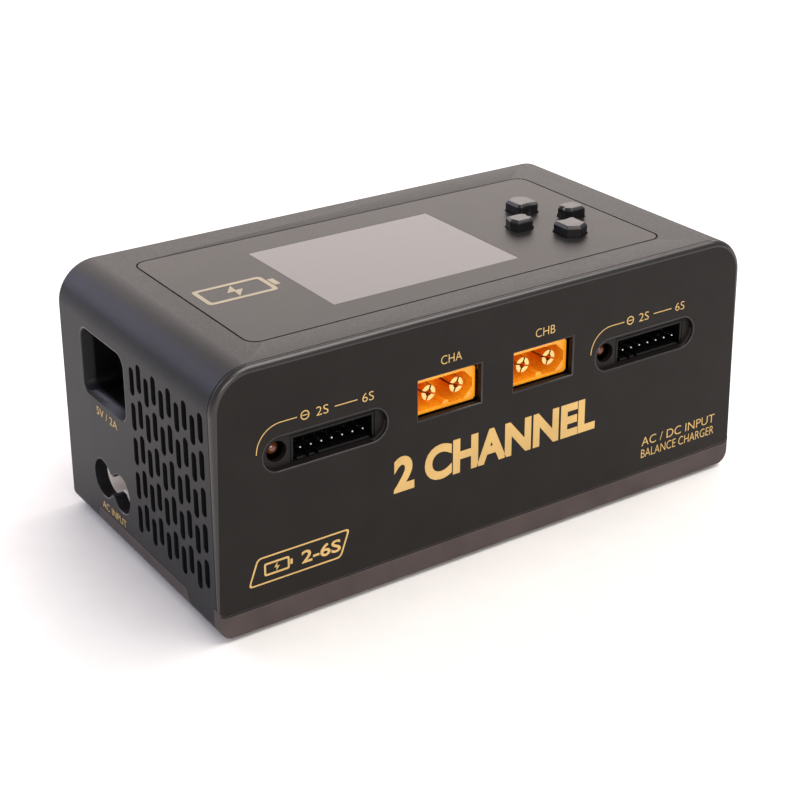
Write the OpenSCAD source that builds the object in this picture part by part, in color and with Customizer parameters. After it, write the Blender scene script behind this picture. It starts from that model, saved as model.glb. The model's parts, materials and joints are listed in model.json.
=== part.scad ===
// Two-channel balance battery charger with a mains supply inside.
// Millimetres. X runs along the length, the sockets face -Y, and Z = 0 is the surface it stands on.

/* [Case] */
// Length of the case
body_l = 140; // [138:1:150]
// Depth of the case, front to back
body_d = 72; // [72:1:80]
// Height of the case above its feet
body_h = 59; // [59:1:66]
// Radius of the long top corners
top_r = 9; // [6:0.5:12]
// Radius of the long bottom corners
bottom_r = 3; // [2.5:0.5:4]
// Thickness of the case walls
wall = 2.4; // [2:0.1:2.6]
// Thickness of the front panel
panel_t = 1.6; // [1.2:0.1:2]
// Height of the rubber feet
foot_h = 1; // [0.8:0.1:1.2]

/* [Display and keys] */
// Length of the inset plate in the top
plate_l = 109; // [106:0.5:110]
// Depth of the inset plate in the top
plate_d = 53.3; // [52:0.1:55]
// Length of the display window
window_l = 48.9; // [46:0.1:50]
// Depth of the display window
window_d = 36.6; // [34:0.1:38]
// Height of the keys above the plate
key_rise = 2.6; // [1.5:0.1:3]
// Travel of a key when it is pressed
key_travel = 0.5; // [0.3:0.05:0.6]

/* [Sockets] */
// Distance between the two outputs of a kind, balance sockets
balance_gap = 85.5; // [84:0.5:87]
// Distance between the two power outputs
output_gap = 25.1; // [24:0.1:26]
// Pitch of the balance pins
pin_pitch = 2.5; // [2.5:0.1:2.5]
// Number of pins in a balance socket
pin_count = 7; // [5:1:7]

/* [Vents and fan] */
// Columns of vent slots in an end wall
vent_columns = 10; // [8:2:10]
// Rows of vent slots in an end wall
vent_rows = 5; // [4:1:5]
// Side of the square fan
fan_size = 35; // [30:1:35]
// Thickness of the fan
fan_t = 10; // [8:1:10]

/* [Hidden] */
$fn = 48;
eps = 0.1;
gap = 0.1;
half_l = body_l / 2;
front_y = -body_d / 2;
back_y = body_d / 2;
base_z = foot_h;
top_z = base_z + body_h;
floor_z = base_z + wall;
seam_z = 6.1;
seam_curl = 1.5;
wrap = 2.9;
shell_front_y = front_y + panel_t;
curl_x = half_l - bottom_r;

// Inset plate, window and key pad, all seen from above
plate_x = -1;
plate_y = 0.3;
plate_r = 3;
plate_t = 1.2;
plate_gap = 0.4;
pocket_z = top_z - plate_t - gap;
window_x = -6.7;
window_y = -0.25;
pad_x = 38;
pad_y = -2.75;
pad_side = 7.65;
pad_deep = 9.65;
key_side = [2.5, 3.05, 2.4, 1.4];
key_deep = [3.1, 3.6, 2, 0.8];
key_gap = 0.25;
ceiling_z = top_z - wall;

// Layers inside, from the top down
lcd_l = 59;
lcd_d = 43;
lcd_t = 4.5;
lcd_top = ceiling_z - gap;
ui_board_top = 53;
board_t = 1.6;
main_board_top = 36;
power_board_top = 8.2;
board_x0 = -57;
board_x1 = 54;
board_y = 31;
ui_board_x = [-50, 51];
ui_board_y = 24;
post_spots = [for (x = [-47, 48], y = [-21, 21]) [x, y]];
post_r = 2.4;
post_pilot_r = 0.85;
post_screw_r = 0.8;
spacer_x = 49;
spacer_y = [-20.5, 27.5];

// Sockets in the front panel
recess_x = -44.1;
recess_z = 39.4;
recess_l = 29.5;
recess_h = 7.5;
recess_deep = 1.4;
recess_floor = 1.3;
header_x = -41.8;
header_z = 39;
header_l = 2.5 + pin_count * pin_pitch;
header_h = 5.8;
header_deep = 9;
led_x = recess_x - recess_l / 2 + recess_h / 2;
led_r = 1.5;
led_hole_r = 2.3;
pin_drop = 0.5;
output_x = -13.4;
output_z = 41.55;
output_face = front_y + 2;
xt_l = 15.8;
xt_h = 8.1;
xt_deep = 16;
xt_pin_gap = 7.2;
xt_pin_r = 1.75;
xt_open_l = 16.4;
xt_open_h = 9.2;

// Sockets in the end walls
usb_y = 14.6;
usb_z = 41.5;
usb_l = 21.8;
usb_h = 15.8;
usb_r = 3;
usb_taper = 1;
usb_deep = 8;
ac_y = 13.6;
ac_z = 14.5;
ac_lobe_r = 4.5;
ac_waist = 5.1;
ac_collar = 0.5;
ac_pin_gap = 8.6;
ac_pin_r = 1.2;
dc_y = 13.6;
dc_z = 14.5;
dc_face = half_l - 1.2;

// Vents in both end walls, in two staggered sets
vent_w = 2.1;
vent_h = 6.5;
vent_pitch_y = 3.41;
vent_pitch_z = 8.2;
vent_rise = 1.8;
vent_y0 = -31.1;
vent_z0 = 12.7;
belly_slots = 8;
belly_pitch = 4.37;
belly_w = 2;
belly_l = 18;
tongue_top = 21.2;
tongue_low = 24;

// Fan behind the right-hand vents
fan_y = -15.6;
fan_z = 30;
fan_x0 = half_l - wall - fan_t - 0.4;
fan_duct_r = fan_size / 2 - 1.2;
fan_blade_r = fan_duct_r - 0.7;
hub_r = 8;
shaft_r = 1;
bearing_r = 1.04;
blade_count = 7;

// Case screws, under the tray
boss_x = 63.2;
boss_y = 29.4;
boss_side = 6.8;
boss_top = 11.5;
pilot_r = 1.25;
screw_r = 1.2;
head_r = 2.8;
foot_x = 60;
foot_front_y = -31.2;
foot_back_y = 29.2;
foot_l = 12.5;
foot_w = 7;

// ---- Shapes that repeat ----

// Sweeps a profile drawn in X and Z from y0 to y1
module along_y(y0, y1) {
  translate([0, y1, 0]) rotate([90, 0, 0]) linear_extrude(y1 - y0) children();
}

// Sweeps a profile drawn in Y and Z from x0 to x1
module along_x(x0, x1) {
  translate([x0, 0, 0]) rotate([90, 0, 90]) linear_extrude(x1 - x0) children();
}

// A box given by its two opposite corners
module block(low, high) {
  translate(low) cube(high - low);
}

module round_rect(l, h, r) {
  square([l - 2 * r, h], center = true);
  square([l, h - 2 * r], center = true);
  for (x = [-1, 1], y = [-1, 1]) translate([x * (l / 2 - r), y * (h / 2 - r)]) circle(r);
}

module stadium(l, h) {
  square([l - h, h], center = true);
  for (x = [-1, 1]) translate([x * (l - h) / 2, 0]) circle(h / 2);
}

// Cross-section of the case, seen from the front, drawn inset all round
module case_outline(inset = 0) {
  w = half_l - inset;
  zt = top_z - inset;
  zb = base_z + inset;
  rt = top_r - inset;
  rb = max(bottom_r - inset, 0.6);
  translate([-w, zb + rb]) square([2 * w, zt - rt - zb - rb]);
  translate([-w + rt, zt - rt]) square([2 * (w - rt), rt]);
  translate([-w + rb, zb]) square([2 * (w - rb), rb]);
  for (s = [-1, 1]) {
    translate([s * (w - rt), zt - rt]) circle(rt);
    translate([s * (w - rb), zb + rb]) circle(rb);
  }
}

// Everything above the seam between panel and tray, whose ends curl up
module above_seam(lift) {
  z = seam_z + lift;
  translate([-half_l + seam_curl, z]) square([body_l - 2 * seam_curl, 2 * body_h]);
  translate([-half_l - eps, z + seam_curl]) square([body_l + 2 * eps, 2 * body_h]);
  for (s = [-1, 1]) translate([s * (half_l - seam_curl), z + seam_curl]) circle(seam_curl);
}

// The flared side of a trapezoid that the tray's tongues fill in the end walls
module tongue_outline(grow = 0) {
  top = seam_z + grow;
  polygon([[-tongue_low - grow, 0], [tongue_low + grow, 0],
           [tongue_top + grow, top], [-tongue_top - grow, top]]);
}

// Rounded rectangular funnel along X: its mouth at x0 narrows by taper over the depth
module funnel(l, h, r, taper, deep) {
  core_l = l / 2 - r;
  core_h = h / 2 - r;
  translate([0, core_l, 0]) rotate([90, 0, 0]) linear_extrude(2 * core_l)
    polygon([[0, -h / 2], [0, h / 2], [deep, h / 2 - taper], [deep, -h / 2 + taper]]);
  translate([0, 0, -core_h]) linear_extrude(2 * core_h)
    polygon([[0, -l / 2], [0, l / 2], [deep, l / 2 - taper], [deep, -l / 2 + taper]]);
  for (y = [-1, 1], z = [-1, 1]) translate([0, y * core_l, z * core_h])
    rotate([0, 90, 0]) cylinder(h = deep, r1 = r, r2 = r - taper);
}

// Figure of eight of the mains inlet, drawn in Y and Z about its middle
module mains_outline(grow = 0) {
  square([2 * ac_lobe_r, ac_waist + 2 * grow], center = true);
  for (s = [-1, 1]) translate([s * ac_lobe_r, 0]) circle(ac_lobe_r + grow);
}

module vent_slots() {
  for (column = [0 : vent_columns - 1], row = [0 : vent_rows - 1])
    translate([vent_y0 + column * vent_pitch_y,
               vent_z0 + row * vent_pitch_z + (column % 2 == 0 ? vent_rise : 0)])
      rotate(90) stadium(vent_h, vent_w);
}

// Blunt arrow of a key seen from above, pointing away from the middle of the pad, with a shallow notch
// at its tail; a key's list holds half its width, half its length, where its point begins and the cut
// corners of its tail
module key_outline(turn, grow = 0) {
  shape = is_deep(turn) ? key_deep : key_side;
  w = shape[0];
  tail = -shape[1];
  cut = shape[3];
  offset(delta = grow)
    polygon([[-w + cut, tail], [0, tail + 0.5], [w - cut, tail], [w, tail + cut],
             [w, shape[2]], [0, shape[1]], [-w, shape[2]], [-w, tail + cut]]);
}

// The keys behind and in front of the middle are the longer pair
function is_deep(turn) = turn % 180 == 0;

// Puts a child at one of the four key places, turned to point outwards
module at_key(turn) {
  reach = is_deep(turn) ? pad_deep : pad_side;
  translate([pad_x, pad_y, 0]) rotate([0, 0, turn]) translate([0, reach, 0]) children();
}

module at_corners(x, y) {
  for (sx = [-1, 1], sy = [-1, 1]) translate([sx * x, sy * y, 0]) children();
}

// ---- Case ----

module upper_shell() {
  color("#3a3739") difference() {
    union() {
      difference() {
        along_y(shell_front_y, back_y) case_outline();
        along_y(front_y - eps, back_y - wall) case_outline(wall);
      }
      usb_cup();
      mains_collar();
      fan_rails();
      for (sx = [-1, 1], sy = [-1, 1]) screw_boss(sx, sy);
      for (spot = post_spots) translate([spot[0], spot[1], ui_board_top])
        cylinder(h = ceiling_z - ui_board_top + 0.3, r = post_r);
    }
    // Open underside, closed by the tray
    block([-curl_x, front_y, 0], [curl_x, back_y - wall, floor_z]);
    block([-half_l - eps, front_y, 0], [half_l + eps, front_y + wrap, seam_z + seam_curl + gap]);
    for (x = [-half_l - eps, curl_x - 4]) along_x(x, x + bottom_r + 4 + eps) tongue_outline(gap);
    // Pocket for the inset plate, with the display and the keys under it
    translate([plate_x, plate_y, pocket_z]) linear_extrude(plate_t + 1)
      round_rect(plate_l + 2 * plate_gap, plate_d + 2 * plate_gap, plate_r + plate_gap);
    translate([window_x, window_y, ceiling_z - eps]) linear_extrude(wall)
      round_rect(window_l + 1, window_d + 1, 1);
    for (turn = [0, 90, 180, 270]) at_key(turn) translate([0, 0, ceiling_z - eps])
      linear_extrude(wall) key_outline(turn, key_gap);
    // Vents at both ends
    along_x(-half_l - eps, -half_l + wall + eps) vent_slots();
    along_x(half_l - wall - eps, half_l + eps) vent_slots();
    // Openings for the sockets
    translate([-half_l, usb_y, usb_z]) funnel(usb_l, usb_h, usb_r, usb_taper, wall);
    along_x(-half_l + wall - 0.01, -half_l + usb_deep) translate([usb_y, usb_z])
      round_rect(usb_l - 2 * usb_taper, usb_h - 2 * usb_taper, usb_r - usb_taper);
    along_x(-half_l, -half_l + usb_deep + 2) translate([usb_y, usb_z]) square([13.6, 6.2], center = true);
    along_x(-half_l - eps, -half_l + wall + ac_collar + eps) translate([ac_y, ac_z]) mains_outline();
    along_x(half_l - wall - eps, half_l + eps) translate([dc_y, dc_z])
      square([xt_open_l, xt_open_h], center = true);
    at_corners(boss_x, boss_y) cylinder(h = boss_top - 1, r = pilot_r);
    for (spot = post_spots) translate([spot[0], spot[1], ui_board_top - eps])
      cylinder(h = ceiling_z - ui_board_top, r = post_pilot_r);
  }
}

// Deep cup around the charging socket, moulded behind its opening
module usb_cup() {
  along_x(-half_l + wall - 0.2, -half_l + usb_deep + 1.2) translate([usb_y, usb_z])
    round_rect(usb_l, usb_h, usb_r);
}

// Lip that carries the mains opening back to the inlet
module mains_collar() {
  along_x(-half_l + wall - 0.2, -half_l + wall + ac_collar) translate([ac_y, ac_z])
    mains_outline(1.2);
}

// Two shelves that the fan slides between
module fan_rails() {
  for (z = [fan_z - fan_size / 2 - 1.3, fan_z + fan_size / 2 + 0.1])
    block([fan_x0, shell_front_y + 1.8, z], [half_l - wall + 0.2, fan_y + fan_size / 2, z + 1.2]);
}

// Square column in a bottom corner, joined to the end wall, for a case screw
module screw_boss(sx, sy) {
  low_x = boss_x - boss_side / 2;
  low_y = boss_y - boss_side / 2;
  mirror([sx < 0 ? 1 : 0, 0, 0]) mirror([0, sy < 0 ? 1 : 0, 0])
    block([low_x, low_y, floor_z + gap], [half_l - wall + 0.2, low_y + boss_side, boss_top]);
}

module front_panel() {
  color("#33302e") difference() {
    union() {
      along_y(front_y, shell_front_y - gap) intersection() {
        case_outline();
        above_seam(gap);
      }
      // Locating rib inside the shell
      along_y(shell_front_y - gap, shell_front_y + 1.1) intersection() {
        difference() {
          case_outline(wall + 0.15);
          case_outline(wall + 1.3);
        }
        translate([-half_l, seam_z + 4]) square([body_l, body_h]);
      }
      // Floors behind the balance recesses
      for (i = [0, 1]) along_y(shell_front_y - 0.2, front_y + recess_deep + recess_floor)
        translate([recess_x + i * balance_gap, recess_z]) stadium(recess_l + 3, recess_h + 3);
    }
    for (i = [0, 1]) translate([i * balance_gap, 0, 0]) {
      along_y(front_y - eps, front_y + recess_deep) translate([recess_x, recess_z])
        stadium(recess_l, recess_h);
      along_y(front_y, front_y + 4) translate([header_x, header_z])
        square([header_l + 0.3, header_h + 0.3], center = true);
      along_y(front_y, front_y + 4) translate([led_x, recess_z]) circle(led_hole_r);
    }
    for (i = [0, 1]) along_y(front_y - eps, front_y + 4)
      translate([output_x + i * output_gap, output_z + 0.3])
        square([xt_open_l, xt_open_h], center = true);
  }
}

module bottom_tray() {
  color("#5b5251") difference() {
    union() {
      block([-curl_x + gap, front_y + 1, base_z], [curl_x - gap, back_y - wall - gap, floor_z - gap]);
      along_y(front_y, front_y + wrap - gap) tray_strip();
      tray_tongues();
      for (x = [-spacer_x, spacer_x], y = spacer_y)
        translate([x, y, floor_z - 0.4]) cylinder(h = power_board_top - board_t - gap - floor_z + 0.4, r = 3);
    }
    // Air slots in the underside at both ends
    for (side = [0, 1], i = [0 : belly_slots - 1]) mirror([side, 0, 0])
      translate([-half_l + belly_l / 2 + 0.2, (i - (belly_slots - 1) / 2) * belly_pitch + 1.6, base_z - eps])
        linear_extrude(wall + 2 * eps) stadium(belly_l, belly_w);
    at_corners(boss_x, boss_y) {
      cylinder(h = floor_z + 1, r = 1.6);
      translate([0, 0, base_z - eps]) cylinder(h = 1.5 + eps, r = 3);
    }
    for (x = [-spacer_x, spacer_x], y = spacer_y)
      translate([x, y, base_z + 1]) cylinder(h = 8, r = pilot_r);
  }
}

// Front edge of the tray below the panel, curling up at its two ends
module tray_strip() {
  difference() {
    intersection() {
      case_outline();
      translate([-half_l, 0]) square([body_l, seam_z + seam_curl]);
    }
    above_seam(0);
  }
}

// The tray's raised ends, flush in the end walls
module tray_tongues() {
  for (x = [-half_l, half_l - bottom_r - wall]) intersection() {
    along_y(-tongue_low, tongue_low) difference() {
      case_outline();
      case_outline(wall);
    }
    along_x(x, x + bottom_r + wall) tongue_outline();
  }
}

// The front pair stands close behind the strip, so it shows below it
module foot(side, y) {
  color("#1b1a1a") translate([side * foot_x, y, 0]) {
    along_y(-foot_w / 2, foot_w / 2)
      polygon([[-foot_l / 2 + 1.2, 0], [foot_l / 2 - 1.2, 0], [foot_l / 2, foot_h], [-foot_l / 2, foot_h]]);
  }
}

module case_screws() {
  color("#2a2a2c") at_corners(boss_x, boss_y) difference() {
    union() {
      translate([0, 0, base_z + 0.2]) cylinder(h = 1.2, r = head_r);
      translate([0, 0, base_z + 1]) cylinder(h = 8, r = screw_r);
    }
    translate([0, 0, base_z]) cylinder(h = 0.9, r = 1.15, $fn = 6);
  }
}

// ---- Display and keys ----

module top_plate() {
  color("#6b6665") difference() {
    translate([plate_x, plate_y, top_z - plate_t]) linear_extrude(plate_t)
      round_rect(plate_l, plate_d, plate_r);
    translate([window_x, window_y, top_z - plate_t - eps]) linear_extrude(plate_t + 2 * eps)
      square([window_l + 0.1, window_d + 0.1], center = true);
    for (turn = [0, 90, 180, 270]) at_key(turn) translate([0, 0, top_z - plate_t - eps])
      linear_extrude(plate_t + 2 * eps) key_outline(turn, key_gap);
  }
}

module display_window() {
  color("#bdb9ba") translate([window_x, window_y, top_z - plate_t]) linear_extrude(plate_t)
    square([window_l, window_d], center = true);
}

module lcd_panel() {
  color("#9a989c") translate([window_x, window_y, lcd_top - lcd_t + 0.8])
    linear_extrude(lcd_t - 0.8) square([lcd_l - 2, lcd_d - 2], center = true);
}

// Bent metal tray that holds the display's glass
module lcd_frame() {
  color("#b9bbbd") translate([window_x, window_y, lcd_top - lcd_t]) difference() {
    linear_extrude(lcd_t) square([lcd_l, lcd_d], center = true);
    translate([0, 0, 0.7]) linear_extrude(lcd_t) square([lcd_l - 1.8, lcd_d - 1.8], center = true);
  }
}

module display_board() {
  color("#1f5a3a") difference() {
    block([ui_board_x[0], -ui_board_y, ui_board_top - board_t], [ui_board_x[1], ui_board_y, ui_board_top]);
    for (spot = post_spots) translate([spot[0], spot[1], ui_board_top - 2]) cylinder(h = 3, r = 1.1);
  }
}

module switch_bodies() {
  color("#2b2b2d") for (turn = [0, 90, 180, 270]) at_key(turn) difference() {
    translate([-3, -3, ui_board_top]) cube([6, 6, 2]);
    translate([0, 0, ui_board_top + 0.6]) cylinder(h = 2, r = 1.6);
  }
}

// Cap, with a flange that stops it under the case top
module key(turn) {
  flange_top = ceiling_z - 0.1;
  color("#29282a") at_key(turn) union() {
    translate([0, 0, flange_top - 0.2]) linear_extrude(top_z + key_rise - flange_top + 0.2) key_outline(turn);
    translate([0, 0, flange_top - 0.8]) linear_extrude(0.8) key_outline(turn, 0.6);
  }
}

// Moving part of a switch, which the key rests on
module plunger(turn) {
  color("#c8c4ba") at_key(turn)
    translate([0, 0, ui_board_top + 0.6 + key_travel + 0.05])
      cylinder(h = ceiling_z - 0.9 - ui_board_top - 0.6 - key_travel - 0.05, r = 1.5);
}

// Flat flexible lead from the display's board down to the main board
module display_ribbon() {
  color("#d8d4c8") {
    block([-40, 24.6, main_board_top], [-20, 24.9, ui_board_top - board_t]);
    block([-40, 22, ui_board_top - board_t - 0.3], [-20, 24.9, ui_board_top - board_t]);
    block([-40, 22, main_board_top], [-20, 24.9, main_board_top + 0.3]);
  }
}

// ---- Boards and how they are held ----

module spacer_holes(z) {
  for (x = [-spacer_x, spacer_x], y = spacer_y)
    translate([x, y, z]) cylinder(h = 2 * board_t, r = 1.6);
}

module main_board() {
  color("#1d5136") difference() {
    block([board_x0, -board_y, main_board_top - board_t], [board_x1, board_y, main_board_top]);
    spacer_holes(main_board_top - board_t - eps);
  }
}

module power_board() {
  color("#22603f") difference() {
    block([board_x0, -board_y, power_board_top - board_t], [board_x1, board_y, power_board_top]);
    spacer_holes(power_board_top - board_t - eps);
  }
}

module board_spacers() {
  color("#b08a3e") for (x = [-spacer_x, spacer_x], y = spacer_y)
    translate([x, y, power_board_top]) difference() {
      cylinder(h = main_board_top - board_t - power_board_top, r = 2.8, $fn = 6);
      translate([0, 0, 18]) cylinder(h = 10, r = pilot_r);
    }
}

module board_screws() {
  color("#9c9da1") for (spot = post_spots) translate([spot[0], spot[1], ui_board_top - board_t]) difference() {
    union() {
      translate([0, 0, -1.2]) cylinder(h = 1.2, r = 1.9);
      translate([0, 0, -0.2]) cylinder(h = 4.6, r = post_screw_r);
    }
    translate([-0.25, -1.5, -1.3]) cube([0.5, 3, 0.7]);
  }
  color("#9c9da1") for (x = [-spacer_x, spacer_x], y = spacer_y)
    translate([x, y, main_board_top]) difference() {
      union() {
        cylinder(h = 1.6, r = 2.6);
        translate([0, 0, -6]) cylinder(h = 6.2, r = screw_r);
      }
      translate([-0.3, -2, 1]) cube([0.6, 4, 1]);
      translate([-2, -0.3, 1]) cube([4, 0.6, 1]);
    }
}

module insulation_sheet() {
  color("#c9b36a") difference() {
    block([-46, -24, floor_z], [45, 24, floor_z + 0.3]);
    for (x = [-spacer_x, spacer_x], y = spacer_y)
      translate([x, y, floor_z - 1]) cylinder(h = 3, r = 4.2);
  }
}

// ---- Sockets ----

// Power connector housing: its face at the origin, its body running along +Y, a guide rib on its floor
module xt_housing() {
  color("#f0a028") difference() {
    union() {
      along_y(0, 12) xt_outline(0, 0.6);
      along_y(11.8, xt_deep) square([13.4, 6.4], center = true);
    }
    difference() {
      along_y(-eps, 9) xt_outline(0.75, 2.3);
      along_y(0.3, 10) translate([0.4, -xt_h / 2 + 0.7]) circle(0.9);
    }
    for (s = [-1, 1]) translate([s * xt_pin_gap / 2, 8.8, 0]) rotate([-90, 0, 0])
      cylinder(h = xt_deep, r = xt_pin_r + 0.02);
  }
}

// Connector outline in X and Z, its right-hand corners cut off to key the plug
module xt_outline(inset, cut) {
  w = xt_l / 2 - inset;
  h = xt_h / 2 - inset;
  polygon([[-w, -h], [w - cut, -h], [w, -h + cut], [w, h - cut], [w - cut, h], [-w, h]]);
}

// Two split tubular contacts
module xt_pins() {
  color("#d9b65a") for (s = [-1, 1]) translate([s * xt_pin_gap / 2, 1, 0]) rotate([-90, 0, 0])
    difference() {
      cylinder(h = xt_deep + 1, r = xt_pin_r);
      translate([0, 0, -eps]) cylinder(h = 7, r = 0.75);
      for (turn = [20, 110]) rotate([0, 0, turn]) translate([-2, -0.2, -eps]) cube([4, 0.4, 6]);
    }
}

module at_output(i) {
  translate([output_x + i * output_gap, output_face, output_z]) children();
}

// Right end: the same connector turned to face +X
module at_dc() {
  translate([dc_face, dc_y, dc_z]) rotate([0, 0, 90]) children();
}

// Shrouded header, open at the front, with key slots in its lower wall
module balance_header(i) {
  inside = header_h - 1.2;
  color("#141414") translate([header_x + i * balance_gap, front_y + recess_deep, header_z]) difference() {
    along_y(0, header_deep) square([header_l, header_h], center = true);
    along_y(-eps, header_deep - 1.6) square([header_l - 1.2, inside], center = true);
    for (x = [-header_l / 2 + 0.9, -6.2, -4, header_l / 2 - 0.9])
      translate([x - 0.45, -eps, -header_h / 2 - eps]) cube([0.9, 5, 1]);
    for (k = [0 : pin_count - 1]) translate([(k - (pin_count - 1) / 2) * pin_pitch, 0, -pin_drop])
      along_y(header_deep - 2, header_deep + 1) square(0.7, center = true);
  }
}

module balance_pins(i) {
  color("#d9c078") for (k = [0 : pin_count - 1])
    translate([header_x + i * balance_gap + (k - (pin_count - 1) / 2) * pin_pitch,
               front_y + recess_deep, header_z - pin_drop]) {
      along_y(0.4, header_deep + 1.4) square(0.64, center = true);
      translate([-0.32, header_deep + 0.76, main_board_top - header_z + pin_drop])
        cube([0.64, 0.64, header_z - pin_drop - main_board_top]);
    }
}

// Round-nosed lamp behind the recess floor, with its collar and its two leads bent down to the main board
module status_light(i) {
  color("#7a4a26") translate([led_x + i * balance_gap, front_y + recess_deep + 2.6, recess_z]) {
    rotate([-90, 0, 0]) {
      sphere(led_r);
      cylinder(h = 3.4, r = led_r);
      translate([0, 0, 2]) cylinder(h = 1, r = 1.9);
    }
    for (x = [-1.27, 0.77]) {
      block([x, 3.2, -0.25], [x + 0.5, 4.6, 0.25]);
      block([x, 4.1, main_board_top - recess_z], [x + 0.5, 4.6, 0.25]);
    }
  }
}

module usb_shell() {
  color("#b4b6b8") difference() {
    along_x(-half_l + usb_deep, -half_l + usb_deep + 14) translate([usb_y, usb_z])
      square([13.2, 5.8], center = true);
    along_x(-half_l + usb_deep - eps, -half_l + usb_deep + 13) translate([usb_y, usb_z])
      square([12.5, 5.1], center = true);
  }
  color("#b4b6b8") for (y = [-5.5, 5.5])
    block([-50, usb_y + y - 0.8, main_board_top], [-49, usb_y + y + 0.8, usb_z - 2.8]);
}

module usb_tongue() {
  color("#e9e7e2") along_x(-half_l + usb_deep + 1, -half_l + usb_deep + 13)
    translate([usb_y, usb_z + 1.2]) square([11.4, 1.8], center = true);
}

module mains_inlet() {
  x0 = -half_l + wall + ac_collar + gap;
  color("#d9cfcc") difference() {
    union() {
      along_x(x0, x0 + 2) translate([ac_y, ac_z]) round_rect(22.4, 13.2, 2);
      along_x(x0 + 1.8, x0 + 13) translate([ac_y, ac_z]) round_rect(20, 11.4, 4);
    }
    along_x(x0 - eps, x0 + 10.5) translate([ac_y, ac_z]) mains_outline(-0.35);
    for (s = [-1, 1]) translate([x0 + 10.3, ac_y + s * ac_pin_gap / 2, ac_z]) rotate([0, 90, 0])
      cylinder(h = 4, r = ac_pin_r + 0.02);
  }
}

module mains_pins() {
  x0 = -half_l + wall + ac_collar + gap;
  color("#c5c7c9") for (s = [-1, 1]) translate([x0 + 2.5, ac_y + s * ac_pin_gap / 2, ac_z])
    rotate([0, 90, 0]) {
      cylinder(h = 12.5, r = ac_pin_r);
      translate([0, 0, -0.7]) cylinder(h = 0.7, r1 = 0.7, r2 = ac_pin_r);
    }
}

// ---- Fan, with its axis along X ----

module at_fan(x) {
  translate([x, fan_y, fan_z]) rotate([0, 90, 0]) children();
}

module fan_frame() {
  color("#1d1d1f") at_fan(fan_x0) difference() {
    union() {
      difference() {
        linear_extrude(fan_t) round_rect(fan_size, fan_size, 2);
        translate([0, 0, -eps]) cylinder(h = fan_t + 2 * eps, r = fan_duct_r);
      }
      cylinder(h = 2.4, r = 6.5);
      intersection() {
        for (turn = [45, 135]) rotate([0, 0, turn]) translate([-fan_size, -1, 0]) cube([2 * fan_size, 2, 1.6]);
        cylinder(h = 3, r = fan_duct_r + 0.5);
      }
    }
    translate([0, 0, -eps]) cylinder(h = 3, r = 2.5);
    for (x = [-1, 1], y = [-1, 1]) translate([x * 14.2, y * 14.2, -eps]) cylinder(h = fan_t + 1, r = 1.3);
  }
}

module fan_bearing() {
  color("#b48a45") at_fan(fan_x0) difference() {
    cylinder(h = 2.4, r = 2.5);
    translate([0, 0, -eps]) cylinder(h = 3, r = bearing_r);
  }
}

module fan_rotor() {
  color("#232325") at_fan(fan_x0) {
    translate([0, 0, 0.4]) cylinder(h = 3, r = shaft_r);
    translate([0, 0, 2.8]) cylinder(h = 6.2, r = hub_r);
    intersection() {
      for (k = [0 : blade_count - 1]) rotate([0, 0, k * 360 / blade_count])
        translate([hub_r - 1, 0, 5.9]) rotate([38, 0, 0]) translate([0, -4, -0.45]) cube([fan_duct_r, 8, 0.9]);
      translate([0, 0, 2.8]) cylinder(h = 6.2, r = fan_blade_r);
    }
  }
}

// Two-core lead from the fan's corner to the main board
module fan_lead() {
  lead_r = 1.1;
  bend = 3;
  lead_y = fan_y + fan_size / 2 + 2;
  color("#3a3a3c") {
    translate([fan_x0 - bend, lead_y, main_board_top + 1.3 + bend]) rotate([90, 0, 0]) rotate([0, 0, -90])
      rotate_extrude(angle = 90) translate([bend, 0]) circle(lead_r);
    translate([fan_x0, lead_y, main_board_top + 1.3 + bend]) cylinder(h = 5, r = lead_r);
    translate([fan_x0 - bend - 6, lead_y, main_board_top + 1.3]) rotate([0, 90, 0]) cylinder(h = 6, r = lead_r);
    block([fan_x0 - bend - 12, lead_y - 2.5, main_board_top], [fan_x0 - bend - 5.5, lead_y + 2.5, main_board_top + 4.5]);
  }
}

// ---- Parts on the lower board ----

transformer_at = [6, 11];

module transformer_core() {
  color("#2f2d2b") translate([transformer_at[0], transformer_at[1], power_board_top + 1]) difference() {
    translate([-16, -13, 0]) cube([32, 26, 22]);
    for (s = [-1, 1]) translate([s * 9 - 3, -14, 5]) cube([6, 28, 12]);
  }
}

module transformer_coil() {
  color("#c8a640") translate([transformer_at[0], transformer_at[1], power_board_top + 6.2])
    difference() {
      linear_extrude(11.6) round_rect(23.6, 30, 5);
      translate([0, 0, -1]) linear_extrude(14) square([12.4, 26.4], center = true);
    }
}

module bulk_capacitors() {
  color("#2b2f3a") for (y = [18.5, -1]) translate([-23, y, power_board_top]) difference() {
    cylinder(h = 24, r = 9);
    translate([0, 0, 23.5]) cylinder(h = 1, r = 7.4);
  }
}

module output_capacitors() {
  color("#34506e") for (y = [20, 9, -2]) translate([32, y, power_board_top]) difference() {
    cylinder(h = 20, r = 5);
    translate([0, 0, 19.6]) cylinder(h = 1, r = 4);
  }
}

module mains_choke() {
  color("#8c3b26") translate([-42, 15, power_board_top + 9.2]) rotate([0, 90, 0])
    rotate_extrude() translate([6, 0]) circle(3);
}

// Finned aluminium blocks along the front of the lower board
module heatsinks() {
  fin_count = 9;
  color("#a6a9ac") for (x = [-44, 4]) translate([x, -27.5, power_board_top]) {
    cube([38, 3, 23]);
    for (k = [0 : fin_count - 1]) translate([k * 4.55, 2.9, 0]) cube([1.6, 5.6, 23]);
  }
}

// Transistors standing against the back of the heatsinks' plates
module power_transistors() {
  color("#1c1c1e") for (x = [-40, -26, -12, 8, 22, 36])
    translate([x - 1.5, -30.8, power_board_top + 3]) cube([9, 3.2, 14]);
}

// ---- Parts on the main board ----

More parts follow.
